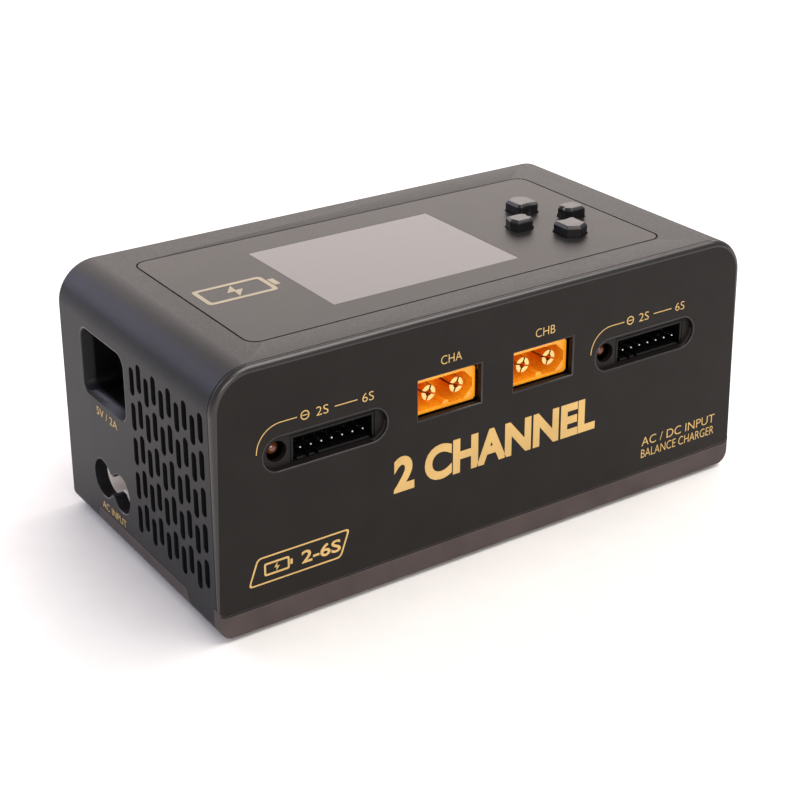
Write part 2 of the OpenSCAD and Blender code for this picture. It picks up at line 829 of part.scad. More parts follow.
module buck_inductors() {
  color("#4b4c50") for (x = [-22, 8]) translate([x, 4, main_board_top]) difference() {
    linear_extrude(9) round_rect(17, 17, 2);
    translate([0, 0, 8.6]) cylinder(h = 1, r = 5.5);
  }
}

module cooling_plate() {
  color("#9fa2a5") translate([-34, -15.5, main_board_top + 2.8]) {
    cube([62, 9, 1.5]);
    for (k = [0 : 3]) translate([0, k * 2.4, 1.4]) cube([62, 1, 4]);
  }
}

module thermal_pad() {
  color("#8fa3b5") translate([-34, -15.5, main_board_top + 1.8]) cube([62, 9, 1]);
}

module controller_chip() {
  color("#1a1a1c") {
    translate([34, 8, main_board_top]) cube([12, 12, 1.5]);
    translate([-34, -15.5, main_board_top]) for (k = [0 : 6]) translate([k * 9, 1, 0]) cube([7, 7, 1.8]);
  }
}

upper_shell();
front_panel();
bottom_tray();
top_plate();
display_window();
lcd_panel();
lcd_frame();
display_board();
switch_bodies();
key(0);  // key_back
key(180);  // key_front
key(90);  // key_left
key(270);  // key_right
plunger(0);  // plunger_back
plunger(180);  // plunger_front
plunger(90);  // plunger_left
plunger(270);  // plunger_right
display_ribbon();
main_board();
power_board();
board_spacers();
board_screws();
case_screws();
foot(-1, foot_front_y);  // foot_front_left
foot(1, foot_front_y);  // foot_front_right
foot(-1, foot_back_y);  // foot_back_left
foot(1, foot_back_y);  // foot_back_right
at_output(0) xt_housing();  // output_housing_a
at_output(1) xt_housing();  // output_housing_b
at_output(0) xt_pins();  // output_pins_a
at_output(1) xt_pins();  // output_pins_b
balance_header(0);  // balance_header_a
balance_header(1);  // balance_header_b
balance_pins(0);  // balance_pins_a
balance_pins(1);  // balance_pins_b
status_light(0);  // status_light_a
status_light(1);  // status_light_b
usb_shell();
usb_tongue();
mains_inlet();
mains_pins();
at_dc() xt_housing();  // dc_housing
at_dc() xt_pins();  // dc_pins
fan_frame();
fan_bearing();
fan_rotor();
fan_lead();
transformer_core();
transformer_coil();
bulk_capacitors();
output_capacitors();
mains_choke();
heatsinks();
power_transistors();
buck_inductors();
cooling_plate();
thermal_pad();
controller_chip();
insulation_sheet();
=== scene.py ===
"""Two-channel balance battery charger: looks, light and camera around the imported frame."""
import json
from math import cos, pi, radians, sin

import bmesh
import bpy
from mathutils import Matrix, Vector

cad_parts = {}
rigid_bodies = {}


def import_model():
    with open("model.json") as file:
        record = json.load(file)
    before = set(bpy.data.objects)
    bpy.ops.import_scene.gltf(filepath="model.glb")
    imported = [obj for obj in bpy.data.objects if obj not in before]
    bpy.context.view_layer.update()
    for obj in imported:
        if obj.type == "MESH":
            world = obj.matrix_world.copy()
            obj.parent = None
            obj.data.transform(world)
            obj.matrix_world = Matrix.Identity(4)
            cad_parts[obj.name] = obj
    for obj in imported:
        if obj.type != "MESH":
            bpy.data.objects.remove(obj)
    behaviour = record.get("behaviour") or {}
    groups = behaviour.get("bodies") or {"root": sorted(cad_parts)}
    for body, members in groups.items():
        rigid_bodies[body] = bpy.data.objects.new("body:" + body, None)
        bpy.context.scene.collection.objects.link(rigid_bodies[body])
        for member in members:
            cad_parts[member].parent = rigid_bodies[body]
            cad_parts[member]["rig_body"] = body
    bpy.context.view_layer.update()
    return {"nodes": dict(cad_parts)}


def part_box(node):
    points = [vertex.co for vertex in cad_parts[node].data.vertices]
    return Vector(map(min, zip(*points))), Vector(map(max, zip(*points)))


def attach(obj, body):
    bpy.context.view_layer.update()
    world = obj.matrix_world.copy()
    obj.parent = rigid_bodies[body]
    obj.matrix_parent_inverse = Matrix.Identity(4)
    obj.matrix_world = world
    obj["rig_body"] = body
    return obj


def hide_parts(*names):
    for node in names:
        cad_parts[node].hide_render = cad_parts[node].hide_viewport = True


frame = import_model()

MM = 0.001
INK = 0.04 * MM          # how far the legends stand proud
ON_PLANE = 0.01          # mm; a point this near a face's plane is on it
TOUCH = 0.001            # mm; points this near are one and the same
WELD = 0.002             # mm; corners of a CAD node's triangles nearer than this are joined
CASE_CORNER = 9          # mm; radius of the shell's long upper corners
USB_MOUTH = (11.6, 8.6)  # mm; half the width and height around the charging recess
MAINS_MOUTH = (8, 6)     # mm; the same around the mains inlet
RECESS_SHADE_DEPTH = 2.9        # mm; depth beyond which the charging recess is painted black as shade
COLLECTION = bpy.context.scene.collection


# ---- Small tools ----

def linear(shade):
    """An sRGB hex colour such as "#2b2a2c" as a linear RGBA value."""
    parts = [int(shade[i:i + 2], 16) / 255 for i in (1, 3, 5)]
    return (*[p / 12.92 if p <= 0.04045 else ((p + 0.055) / 1.055) ** 2.4 for p in parts], 1)


def add(tree, kind, settings=None, **links):
    """Adds a node; settings name its properties or sockets, links give the socket feeding an input."""
    made = tree.nodes.new(kind)
    for key, value in (settings or {}).items():
        if key in made.inputs:
            made.inputs[key].default_value = value
        else:
            setattr(made, key, value)
    for key, socket in links.items():
        tree.links.new(socket, made.inputs[key.replace("_", " ")])
    return made


def new_material(name):
    """An empty node material, its shader and its Object coordinates."""
    made = bpy.data.materials.new(name)
    made.use_nodes = True
    tree = made.node_tree
    shader = tree.nodes["Principled BSDF"]
    place = add(tree, "ShaderNodeTexCoord").outputs["Object"]
    return made, tree, shader, place


def surface(name, shade, rough, grain, depth, settings=None, drift=0.12, spread=0.05):
    """A finish with a fine grain (size and depth in mm), a slow drift of shade and an uneven gloss."""
    made, tree, shader, place = new_material(name)
    shader.inputs["Roughness"].default_value = rough
    for key, value in (settings or {}).items():
        shader.inputs[key].default_value = value
    cloud_size = 9 * MM
    cloud = add(tree, "ShaderNodeTexNoise", {"Scale": 1 / cloud_size, "Detail": 3.0}, Vector=place)
    fine = add(tree, "ShaderNodeTexNoise", {"Scale": 1 / (grain * MM), "Detail": 2.0}, Vector=place)
    base = Vector(linear(shade)[:3])
    tint = add(tree, "ShaderNodeValToRGB", Fac=cloud.outputs["Fac"])
    tint.color_ramp.elements[0].position = 0.35
    tint.color_ramp.elements[1].position = 0.65
    tint.color_ramp.elements[0].color = (*(base * (1 - drift)), 1)
    tint.color_ramp.elements[1].color = (*(base * (1 + drift)), 1)
    tree.links.new(tint.outputs["Color"], shader.inputs["Base Color"])
    gloss = add(tree, "ShaderNodeMapRange",
                {"From Min": 0.3, "From Max": 0.7, "To Min": rough - spread, "To Max": rough + spread},
                Value=fine.outputs["Fac"])
    tree.links.new(gloss.outputs["Result"], shader.inputs["Roughness"])
    bump = add(tree, "ShaderNodeBump", {"Strength": 1.0, "Distance": depth * MM}, Height=fine.outputs["Fac"])
    tree.links.new(bump.outputs["Normal"], shader.inputs["Normal"])
    return made


# ---- Materials ----

# A spark-eroded texture shades itself, so it shows less of its gloss when seen square-on
TEXTURED = {"IOR": 1.53, "Specular IOR Level": 0.15}


def satin_abs():
    # Spark-textured ABS: fine even grain, soft broad sheen
    # The real 0.1 mm grain is drawn at 0.35 mm to show
    return surface("satin_textured_abs", "#19191c", 0.42, 0.35, 0.010, TEXTURED)


def matt_abs():
    # ABS from a duller tool than the shell: a little browner and flatter
    return surface("matt_textured_abs", "#1a1716", 0.46, 0.32, 0.010, TEXTURED)


def burnished_abs():
    # The same ABS where the tool's parting edges leave it smooth, so it shines more
    return surface("smooth_edged_abs", "#1a1717", 0.3, 1.0, 0.0005,
                   {"IOR": 1.53, "Specular IOR Level": 0.55}, 0.04, 0.02)


def tray_abs():
    # Brown-grey ABS, matt, catches the light of the bench
    return surface("brown_grey_abs", "#4a4140", 0.5, 0.35, 0.010, TEXTURED)


def printed_plate():
    # Hard-coated polycarbonate sheet, smoother than the case, so a clearer sheen
    return surface("hard_coated_polycarbonate", "#1d1b1b", 0.42, 0.30, 0.005,
                   {"IOR": 1.58, "Specular IOR Level": 0.16})


def display_face():
    # Display seen switched off through clear acrylic: pale, even and smooth
    return surface("pale_display_acrylic", "#5d5a5b", 0.34, 2.0, 0.0002,
                   {"IOR": 1.49, "Specular IOR Level": 0.3}, 0.004, 0.01)


def key_plastic():
    # Polished-edge ABS key caps, near black
    return surface("satin_key_abs", "#181718", 0.36, 0.25, 0.006,
                   {"IOR": 1.53, "Specular IOR Level": 0.35})


def black_nylon():
    # Glass-filled nylon of the headers and the fan: black, faintly mottled; it also paints the shade deep in
    # the charging recess
    return surface("black_glass_filled_nylon_and_recess_shade", "#070708", 0.42, 0.3, 0.008,
                   {"IOR": 1.53, "Specular IOR Level": 0.2})


def ivory_nylon():
    # Unfilled natural nylon, off-white and a little translucent
    return surface("natural_nylon", "#f6eeec", 0.4, 0.4, 0.006,
                   {"IOR": 1.53, "Subsurface Weight": 0.2, "Subsurface Radius": (0.002, 0.0015, 0.001)})


def amber_nylon_painted_glow():
    # Translucent amber nylon: light soaks in and comes out orange at thin walls; the faint orange emission
    # is painted glow, since the nylon is no lamp
    return surface("amber_nylon_painted_glow", "#ffa81c", 0.28, 0.6, 0.004,
                   {"IOR": 1.53, "Subsurface Weight": 0.6, "Subsurface Radius": (0.005, 0.0025, 0.0004),
                    # Painted glow: a faint emission stands in for light shining through the nylon
                    "Emission Color": linear("#ff8a10"), "Emission Strength": 0.1,
                    "Coat Weight": 0.25, "Coat Roughness": 0.12}, drift=0.16)


def gold_contact():
    # Gold flash over brass: smooth, warm metal
    return surface("gold_plated_brass", "#f0cf86", 0.22, 0.25, 0.003, {"Metallic": 1.0}, drift=0.05)


def bright_steel():
    # Nickel-plated steel sheet and pins
    return surface("nickel_plated_steel", "#c4c5c8", 0.26, 0.3, 0.003, {"Metallic": 1.0}, drift=0.05)


def black_steel():
    # Blackened screw steel, slightly oily
    return surface("blackened_steel", "#2b2b2d", 0.38, 0.25, 0.006, {"Metallic": 1.0})


def turned_brass():
    # Free-cutting brass, turned
    return surface("turned_brass", "#c9a256", 0.3, 0.2, 0.004, {"Metallic": 1.0}, drift=0.06)


def fin_aluminium():
    # Extruded aluminium, dull from the die
    return surface("extruded_aluminium", "#b9bbbd", 0.4, 0.35, 0.006, {"Metallic": 1.0}, drift=0.06)


def lamp_resin():
    # Tinted epoxy of the status lights, dark and clear while off
    return surface("tinted_epoxy", "#5a2c14", 0.12, 0.5, 0.001,
                   {"IOR": 1.55, "Coat Weight": 0.6, "Coat Roughness": 0.04})


def foot_rubber():
    # Silicone rubber feet: soft, dull, dusty
    return surface("silicone_rubber", "#161515", 0.75, 0.3, 0.015, {"IOR": 1.43})


def lead_pvc():
    # Soft PVC insulation
    return surface("soft_pvc", "#1b1b1d", 0.45, 0.4, 0.008, {"IOR": 1.54})


def board_laminate():
    # Black solder mask over glass cloth: the weave shows faintly
    made, tree, shader, place = new_material("black_solder_mask")
    shader.inputs["Roughness"].default_value = 0.3
    shader.inputs["IOR"].default_value = 1.55
    cloth = add(tree, "ShaderNodeTexChecker", {"Scale": 1 / (0.5 * MM)}, Vector=place)
    cloth.inputs["Color1"].default_value = linear("#101312")
    cloth.inputs["Color2"].default_value = linear("#171b19")
    tree.links.new(cloth.outputs["Color"], shader.inputs["Base Color"])
    return made


def ferrite():
    # Sintered ferrite: grey-black, granular
    return surface("sintered_ferrite", "#2e2d2d", 0.5, 0.2, 0.02, {"IOR": 2.2})


def coil_tape():
    # Yellow polyester tape round the winding
    return surface("polyester_tape", "#c79a1e", 0.25, 0.8, 0.01, {"IOR": 1.6})


def wound_copper():
    # Enamelled copper wire, wound side by side
    made, tree, shader, place = new_material("enamelled_copper")
    shader.inputs["Metallic"].default_value = 1.0
    shader.inputs["Roughness"].default_value = 0.3
    shader.inputs["Base Color"].default_value = linear("#9c4a26")
    wire = 1.0 * MM
    turns = add(tree, "ShaderNodeTexWave", {"Scale": 1 / wire / 20, "bands_direction": "Z"}, Vector=place)
    bump = add(tree, "ShaderNodeBump", {"Distance": 0.2 * MM}, Height=turns.outputs["Fac"])
    tree.links.new(bump.outputs["Normal"], shader.inputs["Normal"])
    return made


def capacitor_sleeve():
    # PVC shrink sleeve, glossy dark blue
    return surface("pvc_shrink_sleeve", "#1b2740", 0.22, 0.8, 0.004, {"IOR": 1.54})


def silicone_pad():
    # Filled silicone gap pad, blue-grey and dull
    return surface("silicone_gap_pad", "#7d8fa0", 0.7, 0.3, 0.02, {"IOR": 1.43})


def insulating_film():
    # Amber polyimide film, smooth
    return surface("polyimide_film", "#b98f3c", 0.2, 0.8, 0.002, {"IOR": 1.7})


def display_glass():
    # Display glass, seen only if the case is opened
    return surface("display_glass", "#8f9094", 0.08, 1.0, 0.0005, {"IOR": 1.52})


def gold_ink():
    # Screen-printed metallic gold ink: opaque, faintly speckled with flake
    return surface("gold_screen_ink", "#cfab69", 0.42, 0.18, 0.006, {"Metallic": 0.25}, drift=0.08)


def dull_gold_ink():
    # Thinner gold ink under the plate's hard coat, so it is muted
    return surface("muted_gold_ink", "#857a60", 0.42, 0.18, 0.004, {"Metallic": 0.25}, drift=0.08)


def studio_floor():
    # Pale seamless paper
    return surface("seamless_paper", "#f4f3f2", 0.85, 1.2, 0.01, drift=0.01)


# ---- Pieces taken from the frame ----

def finish_mesh(bm, name, material, body, nodes=(), extra=()):
    """Makes the bmesh an object that rides on a body, with even shading over its rounded edges."""
    mesh = bpy.data.meshes.new(name)
    bm.to_mesh(mesh)
    bm.free()
    for each in (material, *extra):
        mesh.materials.append(each)
    mesh.polygons.foreach_set("use_smooth", [True] * len(mesh.polygons))
    mesh.set_sharp_from_angle(angle=radians(38))
    piece = bpy.data.objects.new(name, mesh)
    COLLECTION.objects.link(piece)
    even = piece.modifiers.new("even_shading", "WEIGHTED_NORMAL")
    even.keep_sharp = True
    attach(piece, body)
    if nodes:
        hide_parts(*nodes)
    return piece


def welded(node):
    """A welded copy of a CAD node, its flat faces whole again."""
    bm = bmesh.new()
    bm.from_mesh(frame["nodes"][node].data)
    bmesh.ops.remove_doubles(bm, verts=bm.verts, dist=WELD * MM)
    bmesh.ops.dissolve_limit(bm, angle_limit=radians(0.4), verts=bm.verts, edges=bm.edges)
    return bm


def sharp_edges(bm, test=lambda middle, edge: True, angle=30):
    """Edges sharper than the angle whose middle point (in mm) passes the test."""
    found = []
    for edge in bm.edges:
        if edge.is_manifold and edge.calc_face_angle() > radians(angle):
            middle = (edge.verts[0].co + edge.verts[1].co) / 2 / MM
            if test(middle, edge):
                found.append(edge)
    return found


def round_edges(bm, edges, width, segments=2, burnished=False, clamp=True):
    """Rounds edges; burnished ones get the second material, where the texture has worn smooth.

    Clamping keeps a round from running past a short neighbour, but shrinks it on a curved rim.
    """
    made = bmesh.ops.bevel(bm, geom=edges, offset=width * MM, segments=segments, profile=0.5,
                           affect="EDGES", material=-1, clamp_overlap=clamp and not burnished)
    if burnished:
        for face in made["faces"]:
            face.material_index = 1


def recast(node, name, material, width, segments=2):
    """A CAD node with all its sharp edges rounded alike."""
    bm = welded(node)
    round_edges(bm, sharp_edges(bm), width, segments)
    owner = frame["nodes"][node]["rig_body"]
    return finish_mesh(bm, name, material, owner, [node])


def middle_of(node):
    """Centre of a CAD node's box."""
    low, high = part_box(node)
    return (low + high) / 2


def set_back(bm, axis, limit, value):
    """Moves an outer face in by the thickness of the ink, so that the legends end flush with the frame."""
    for vert in bm.verts:
        if vert.co[axis] * (1 if limit > 0 else -1) > abs(limit) - TOUCH * MM:
            vert.co[axis] = value


def near_socket(point, node, wide, tall):
    """True close to a socket of the left end, seen from that end; all in mm."""
    away = point - middle_of(node) / MM
    return abs(away.y) < wide and abs(away.z) < tall and away.x < 0


def paint_recess_shade(bm, end):
    """Paints shade deep in the charging socket's recess: faces past the set depth take the black third
    material; end is the case's left face, in mm.
    """
    walls, start = end + 0.1, end + RECESS_SHADE_DEPTH
    inside = [f for f in bm.faces if near_socket(f.calc_center_median() / MM, "usb_tongue", *USB_MOUTH)
              and f.calc_center_median().x > walls * MM]
    parts = set(inside)
    for face in inside:
        parts.update(face.edges)
        parts.update(face.verts)
    bmesh.ops.bisect_plane(bm, geom=list(parts), dist=TOUCH * MM,
                           plane_co=(start * MM, 0, 0), plane_no=(1, 0, 0))
    for face in bm.faces:
        # Painted shade: the recess's faces past the set depth turn black to stand for the dark inside it
        middle = face.calc_center_median() / MM
        if middle.x > start and near_socket(middle, "usb_tongue", *USB_MOUTH):
            face.material_index = 2


def make_shell(material, edge_material, recess_shade):
    """The shell: soft back rim, crisp front lip, burnished socket mouths and painted shade deep in the
    charging recess.
    """
    above_tray, above_strip = 6.5, 8
    side_band, top_band = 1.2, 9.5
    bm = welded("upper_shell")
    low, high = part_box("upper_shell")
    back = high.y / MM
    rim = sharp_edges(bm, lambda m, e: abs(m.y - back) < ON_PLANE and m.z > above_tray)
    round_edges(bm, rim, 1.0, 4)
    front = low.y / MM
    lip = sharp_edges(bm, lambda m, e: abs(m.y - front) < ON_PLANE and m.z > above_strip and (
        abs(m.x) > high.x / MM - side_band or m.z > high.z / MM - top_band))
    round_edges(bm, [e for e in lip if is_outer(e, high)], 0.25)
    left = low.x / MM
    sockets = sharp_edges(bm, lambda m, e: abs(m.x - left) < ON_PLANE and (
        near_socket(m, "usb_tongue", *USB_MOUTH) or near_socket(m, "mains_inlet", *MAINS_MOUTH)))
    round_edges(bm, sockets, 0.3, 3, burnished=True)
    paint_recess_shade(bm, left)
    set_back(bm, 0, low.x, low.x + INK)
    return finish_mesh(bm, "case_shell", material, "case", ["upper_shell"],
                       [edge_material, recess_shade])


def is_outer(edge, high):
    """True on the outside of the case rather than on the inside of its wall."""
    middle = (edge.verts[0].co + edge.verts[1].co) / 2
    corner, corner_skin, flat_skin = CASE_CORNER * MM, 0.6 * MM, 0.1 * MM
    wide, tall = high.x - corner, high.z - corner
    if abs(middle.x) > wide and middle.z > tall:
        reach = Vector((abs(middle.x) - wide, middle.z - tall)).length
        return reach > corner - corner_skin
    return abs(middle.x) > high.x - flat_skin or middle.z > high.z - flat_skin


def make_panel(material, edge_material):
    """The panel: a broad burnished round at its sides and top, a small one at its openings."""
    bm = welded("front_panel")
    low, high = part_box("front_panel")
    face = low.y / MM
    low_edge = low.z / MM + 1.7
    rim = sharp_edges(bm, lambda m, e: abs(m.y - face) < ON_PLANE and m.z > low_edge and is_outer(e, high))
    round_edges(bm, rim, 1.3, 5, burnished=True)
    openings = sharp_edges(bm, lambda m, e: abs(m.y - face) < ON_PLANE)
    round_edges(bm, openings, 0.3, 3, burnished=True)
    set_back(bm, 1, low.y, low.y + INK)
    return finish_mesh(bm, "socket_panel", material, "case", ["front_panel"],
                       [edge_material])


def make_tray(material):
    """The tray, its front strip well rounded below."""
    bm = welded("bottom_tray")
    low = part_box("bottom_tray")[0] / MM
    under = sharp_edges(bm, lambda m, e: abs(m.y - low.y) < ON_PLANE and m.z < low.z + ON_PLANE)
    round_edges(bm, under, 0.9, 4, clamp=False)
    round_edges(bm, sharp_edges(bm), 0.25)
    return finish_mesh(bm, "base_tray", material, "case", ["bottom_tray"])


# ---- Legends ----

SMALL_CAPS = 2.0  # mm; height of the channel and cell legends


def text_shape(words, height, width=None, weight=-0.008):
    """A word or line as a flat bmesh in mm, centred, its capitals as tall as height."""
    curve = bpy.data.curves.new("legend", "FONT")
    curve.body = words
    curve.size = 1
    curve.offset = weight
    curve.resolution_u = 5
    holder = bpy.data.objects.new("legend", curve)
    COLLECTION.objects.link(holder)
    bpy.context.view_layer.update()
    mesh = bpy.data.meshes.new_from_object(holder)
    bpy.data.objects.remove(holder)
    bm = bmesh.new()
    bm.from_mesh(mesh)
    bpy.data.meshes.remove(mesh)
    low, high = flat_box(bm)
    tall = height / (high.y - low.y)
    wide = width / (high.x - low.x) if width else tall
    bmesh.ops.translate(bm, vec=-(low + high) / 2, verts=bm.verts)
    bmesh.ops.scale(bm, vec=(wide, tall, 1), verts=bm.verts)
    return bm


def flat_box(bm):
    """Lowest and highest corner of a flat shape."""
    xs = [v.co.x for v in bm.verts]
    ys = [v.co.y for v in bm.verts]
    return Vector((min(xs), min(ys), 0)), Vector((max(xs), max(ys), 0))


def loop_shape(*loops):
    """A flat shape in mm from closed outlines; an outline inside another is a hole."""
    curve = bpy.data.curves.new("outline", "CURVE")
    curve.dimensions = "2D"
    curve.fill_mode = "BOTH"
    for points in loops:
        spline = curve.splines.new("POLY")
        spline.points.add(len(points) - 1)
        for point, (x, y) in zip(spline.points, points):
            point.co = (x, y, 0, 1)
        spline.use_cyclic_u = True
    holder = bpy.data.objects.new("outline", curve)
    COLLECTION.objects.link(holder)
    bpy.context.view_layer.update()
    mesh = bpy.data.meshes.new_from_object(holder)
    bpy.data.objects.remove(holder)
    bm = bmesh.new()
    bm.from_mesh(mesh)
    bpy.data.meshes.remove(mesh)
    return bm


def arc(centre, radius, start, end, steps=20):
    """Points on an arc, angles in degrees."""
    turn = (end - start) / steps
    return [(centre[0] + radius * cos(radians(start + i * turn)),
             centre[1] + radius * sin(radians(start + i * turn))) for i in range(steps + 1)]


def rounded(points, radius):
    """Closed outline with every corner rounded off."""
    made = []
    count = len(points)
    steps = 4
    for i, corner in enumerate(points):
        here = Vector(corner)
        into = (Vector(points[i - 1]) - here).normalized()
        out = (Vector(points[(i + 1) % count]) - here).normalized()
        reach = radius * 1.2
        start, end = here + into * reach, here + out * reach
        for k in range(steps + 1):
            t = k / steps
            point = start * (1 - t) ** 2 + here * 2 * t * (1 - t) + end * t ** 2
            made.append((point.x, point.y))
    return made


def stroke(start, end, width):
    """A straight line of ink."""
    a, b = Vector(start), Vector(end)
    side = (b - a).normalized().orthogonal() * width / 2
    return loop_shape([tuple(a + side), tuple(b + side), tuple(b - side), tuple(a - side)])


def moved(bm, x, y):
    """The same shape, shifted by x and y."""
    bmesh.ops.translate(bm, vec=(x, y, 0), verts=bm.verts)
    return bm


def print_on(name, shapes, origin, across, up, material, body="case"):
    """Prints flat shapes (in mm) on a face as a thin layer of ink, its outer side at the origin."""
    ink = bmesh.new()
    for shape in shapes:
        mesh = bpy.data.meshes.new("shape")
        shape.to_mesh(mesh)
        shape.free()
        ink.from_mesh(mesh)
        bpy.data.meshes.remove(mesh)
    bmesh.ops.remove_doubles(ink, verts=ink.verts, dist=0.001)
    bmesh.ops.dissolve_limit(ink, angle_limit=radians(1), verts=ink.verts, edges=ink.edges)
    outward = across.cross(up)
    for face in ink.faces:
        if face.normal.z < 0:
            face.normal_flip()
    sheet = bmesh.ops.extrude_face_region(ink, geom=list(ink.faces))
    top = [g for g in sheet["geom"] if isinstance(g, bmesh.types.BMVert)]
    bmesh.ops.translate(ink, vec=(0, 0, 2 * INK / MM), verts=top)
    turn = Matrix((across, up, outward)).transposed().to_4x4()
    place = Matrix.Translation(origin - outward * 2 * INK) @ turn @ Matrix.Diagonal((MM, MM, MM, 1))
    bmesh.ops.transform(ink, matrix=place, verts=ink.verts)
    bmesh.ops.recalc_face_normals(ink, faces=ink.faces)
    mesh = bpy.data.meshes.new(name)
    ink.to_mesh(mesh)
    ink.free()
    mesh.materials.append(material)
    mesh.polygons.foreach_set("use_smooth", [False] * len(mesh.polygons))
    piece = bpy.data.objects.new(name, mesh)
    COLLECTION.objects.link(piece)
    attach(piece, body)
    return piece


def balance_legend(x, z):
    """Minus sign, cell range and the arc that points from the sign to the first pin."""
    line = 0.2
    high = z + 7.4
    bend = (x - 12.8, z + 1.6)
    radius = high - bend[1]
    band = arc(bend, radius + line / 2, 180, 90) + arc(bend, radius - line / 2, 90, 180)
    sign = x - 7.3
    ring = [arc((sign, high), 1.05, 0, 360, 24)[:-1], arc((sign, high), 0.8, 0, 360, 24)[:-1]]
    return [loop_shape(band), stroke((bend[0], high), (x - 9.1, high), line), loop_shape(*ring),
            stroke((sign - 0.65, high), (sign + 0.65, high), line),
            moved(text_shape("2S", SMALL_CAPS, 2.9), x - 3.25, high),
            stroke((x - 0.3, high), (x + 5.1, high), line),
            moved(text_shape("6S", SMALL_CAPS, 2.8), x + 7.7, high)]


def battery_icon(x, y, length, height, line):
    """Upright battery outline with its terminal, lying on its side."""
    outer = rounded([(x, y), (x + length, y), (x + length, y + height), (x, y + height)], line)
    inner = rounded([(x + line, y + line), (x + length - line, y + line),
                     (x + length - line, y + height - line), (x + line, y + height - line)], line * 0.5)
    near, far = x + length + 0.3 * line, x + length + 1.6 * line
    bottom, top = y + height * 0.3, y + height * 0.7
    nub = [(near, bottom), (far, bottom), (far, top), (near, top)]
    return [loop_shape(outer, inner), loop_shape(nub)]


def bolt_icon(x, y, height):
    """Charging flash."""
    w = height * 0.32
    points = [(0.25 * w, 1), (-w, -0.1), (-0.12 * w, -0.1), (-0.25 * w, -1), (w, 0.1), (0.12 * w, 0.1)]
    return loop_shape([(x + a, y + b * height / 2) for a, b in points])


def front_legends(material):
    """Channel names, cell ranges, the title, the battery mark and the two lines at the lower right."""
    outlets = [middle_of("output_housing_a") / MM, middle_of("output_housing_b") / MM]
    headers = [middle_of("balance_header_a") / MM, middle_of("balance_header_b") / MM]
    shapes = []
    for where, words in zip(outlets, ("CHA", "CHB")):
        shapes.append(moved(text_shape(words, SMALL_CAPS, 5.4), where.x + 0.2, where.z + 8.2))
    for where in headers:
        shapes += balance_legend(where.x, where.z)
    shapes.append(moved(text_shape("2 CHANNEL", 8.4, 55, 0.045), -0.4, 26.1))
    slant = rounded([(-63.4, 11.1), (-41.2, 11.1), (-38.9, 17.4), (-61.1, 17.4)], 0.9)
    inside = rounded([(-62.9, 11.45), (-41.5, 11.45), (-39.45, 17.05), (-60.8, 17.05)], 0.7)
    shapes.append(loop_shape(slant, inside))
    shapes += battery_icon(-59.6, 12.75, 6.0, 3.0, 0.45)
    shapes.append(bolt_icon(-56.6, 14.25, 2.0))
    shapes.append(moved(text_shape("2-6S", 3.0, 9.5, 0.02), -46.0, 14.25))
    for words, high in (("AC / DC INPUT", 14.1), ("BALANCE CHARGER", 11.0)):
        shapes.append(moved(text_shape(words, 2.2, 23.2), 53.5, high))
    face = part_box("front_panel")[0].y
    print_on("front_legends", shapes, Vector((0, face, 0)), Vector((1, 0, 0)), Vector((0, 0, 1)), material)


def end_legends(material):
    """The two legends under the sockets of the left end."""
    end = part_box("upper_shell")[0].x
    usb = middle_of("usb_tongue") / MM
    mains = middle_of("mains_inlet") / MM
    shapes = [moved(text_shape("5V / 2A", 1.9, 10.5), -usb.y + 0.7, usb.z - 11.5),
              moved(text_shape("AC INPUT", 1.8, 12.2), -mains.y + 0.2, mains.z - 6.9)]
    print_on("end_legends", shapes, Vector((end, 0, 0)), Vector((0, -1, 0)), Vector((0, 0, 1)), material)


def plate_emblem(material):
    """Battery with a flash in it, left of the display."""
    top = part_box("top_plate")[1].z
    shapes = battery_icon(-53.0, -4.5, 17, 9, 1.1)
    shapes.append(bolt_icon(-44.5, 0, 6.4))
    print_on("plate_emblem", shapes, Vector((0, 0, top + INK)), Vector((1, 0, 0)), Vector((0, 1, 0)),
             material)


# ---- Keys ----

def make_key(where, material):
    """Cap with broad facets round its top and softened corners."""
    node = "key_" + where
    bm = welded(node)
    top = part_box(node)[1].z / MM
    cap_height = 3.5
    crown = sharp_edges(bm, lambda m, e: abs(m.z - top) < ON_PLANE)
    round_edges(bm, crown, 0.6, 1)
    corners = sharp_edges(bm, lambda m, e: m.z > top - cap_height, 20)
    round_edges(bm, corners, 0.16, 2)
    finish_mesh(bm, "arrow_key_" + where, material, "button_" + where, [node])


# ---- Everything together ----

nylon = black_nylon()
ivory = ivory_nylon()
amber = amber_nylon_painted_glow()
gold = gold_contact()
steel = bright_steel()
brass = turned_brass()
laminate = board_laminate()
rubber = foot_rubber()
caps = key_plastic()
lamp = lamp_resin()
core = ferrite()
sleeve = capacitor_sleeve()
fins = fin_aluminium()
ink = gold_ink()

edges = burnished_abs()
# The black nylon doubles as painted shade deep in the charging recess
make_shell(satin_abs(), edges, nylon)
make_panel(matt_abs(), edges)
make_tray(tray_abs())
recast("top_plate", "inset_plate", printed_plate(), 0.06)
recast("display_window", "display_face", display_face(), 0.06)
for where in ("back", "front", "left", "right"):
    make_key(where, caps)
for side in ("front_left", "front_right", "back_left", "back_right"):
    recast("foot_" + side, "rubber_foot_" + side, rubber, 0.15)
for port in "ab":
    recast("output_housing_" + port, "output_socket_" + port, amber, 0.22, 3)
    recast("output_pins_" + port, "output_contacts_" + port, gold, 0.12)
    recast("balance_header_" + port, "balance_socket_" + port, nylon, 0.1)
    recast("balance_pins_" + port, "balance_contacts_" + port, steel, 0.2, 1)
    recast("status_light_" + port, "status_lamp_" + port, lamp, 0.1)
recast("dc_housing", "dc_socket", amber, 0.22, 3)
recast("dc_pins", "dc_contacts", gold, 0.12)
recast("mains_inlet", "mains_socket", ivory, 0.3, 3)
recast("mains_pins", "mains_contacts", steel, 0.15)
recast("usb_shell", "charging_socket", steel, 0.12)
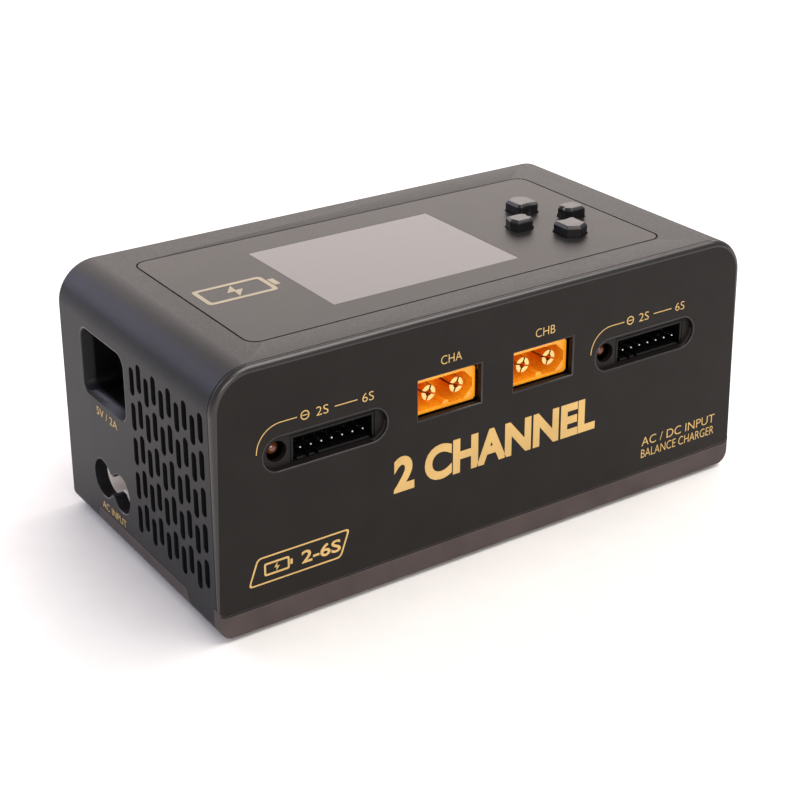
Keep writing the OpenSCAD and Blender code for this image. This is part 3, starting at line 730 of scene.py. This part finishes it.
recast("usb_tongue", "charging_tongue", ivory, 0.15)
recast("fan_frame", "fan_housing", nylon, 0.3)
recast("fan_rotor", "fan_wheel", nylon, 0.2)
recast("case_screws", "tray_screws", black_steel(), 0.12)

PLAIN = {
    "lcd_panel": display_glass(), "lcd_frame": steel, "display_board": laminate, "switch_bodies": nylon,
    "display_ribbon": ivory, "main_board": laminate, "power_board": laminate, "board_spacers": brass,
    "board_screws": steel, "fan_bearing": brass, "fan_lead": lead_pvc(), "transformer_core": core,
    "transformer_coil": coil_tape(), "bulk_capacitors": sleeve, "output_capacitors": sleeve,
    "mains_choke": wound_copper(), "heatsinks": fins, "power_transistors": nylon,
    "buck_inductors": core, "cooling_plate": fins, "thermal_pad": silicone_pad(),
    "controller_chip": nylon, "insulation_sheet": insulating_film(),
    "plunger_back": ivory, "plunger_front": ivory, "plunger_left": ivory, "plunger_right": ivory,
}
for node, material in PLAIN.items():
    mesh = frame["nodes"][node].data
    mesh.materials.clear()
    mesh.materials.append(material)

front_legends(ink)
end_legends(ink)
plate_emblem(dull_gold_ink())


# ---- Floor, light and camera ----

def make_floor():
    """Pale paper sheet under the charger."""
    bm = bmesh.new()
    half_width = 3.0
    bmesh.ops.create_grid(bm, x_segments=2, y_segments=2, size=half_width)
    mesh = bpy.data.meshes.new("studio_floor")
    bm.to_mesh(mesh)
    bm.free()
    mesh.materials.append(studio_floor())
    floor = bpy.data.objects.new("studio_floor", mesh)
    COLLECTION.objects.link(floor)


def softbox(name, place, aim, size, power, tint):
    """A rectangular studio light, metres and watts, turned to face its aim."""
    light = bpy.data.lights.new(name, "AREA")
    light.shape = "RECTANGLE"
    light.size, light.size_y = size
    light.energy = power
    light.color = linear(tint)[:3]
    box = bpy.data.objects.new(name, light)
    box.location = place
    box.rotation_euler = (Vector(aim) - Vector(place)).to_track_quat("-Z", "Y").to_euler()
    COLLECTION.objects.link(box)


def make_world():
    """Even, faintly cool fill from all round."""
    world = bpy.data.worlds.new("studio_air")
    world.use_nodes = True
    world.node_tree.nodes["Background"].inputs["Color"].default_value = linear("#f4f5f8")
    world.node_tree.nodes["Background"].inputs["Strength"].default_value = 0.5
    bpy.context.scene.world = world


def make_camera():
    """Long lens from the front left and above."""
    azimuth, elevation, roll = radians(-33.99), radians(21.6), radians(-0.136)
    lens = bpy.data.cameras.new("camera")
    lens.sensor_width = 36
    lens.lens = 76.3
    lens.shift_y = -0.15
    lens.clip_start, lens.clip_end = 0.01, 20
    camera = bpy.data.objects.new("camera", lens)
    back = Vector((sin(azimuth) * cos(elevation), -cos(azimuth) * cos(elevation), sin(elevation)))
    camera.location = Vector((-203.3, -298.65, 195.6)) * MM
    turn = (-back).to_track_quat("-Z", "Y").to_matrix().to_4x4() @ Matrix.Rotation(roll, 4, "Z")
    camera.rotation_euler = turn.to_euler()
    COLLECTION.objects.link(camera)
    bpy.context.scene.camera = camera


make_floor()
make_world()
softbox("top_box", (0.4, -0.3, 1.15), (0, 0, 0), (1.5, 0.6), 15, "#fff8f2")
softbox("back_box", (0.55, 1.15, 0.6), (0, 0, 0.03), (1.7, 0.6), 11.5, "#fff1ea")
softbox("left_box", (-0.6, 1.05, 0.55), (0, 0, 0.04), (0.7, 0.75), 6, "#e2e0ff")
softbox("front_box", (-0.3, -1.25, 0.55), (0, 0, 0.03), (0.8, 0.5), 7, "#fff6ee")
make_camera()
bpy.context.scene.view_settings.view_transform = "Standard"
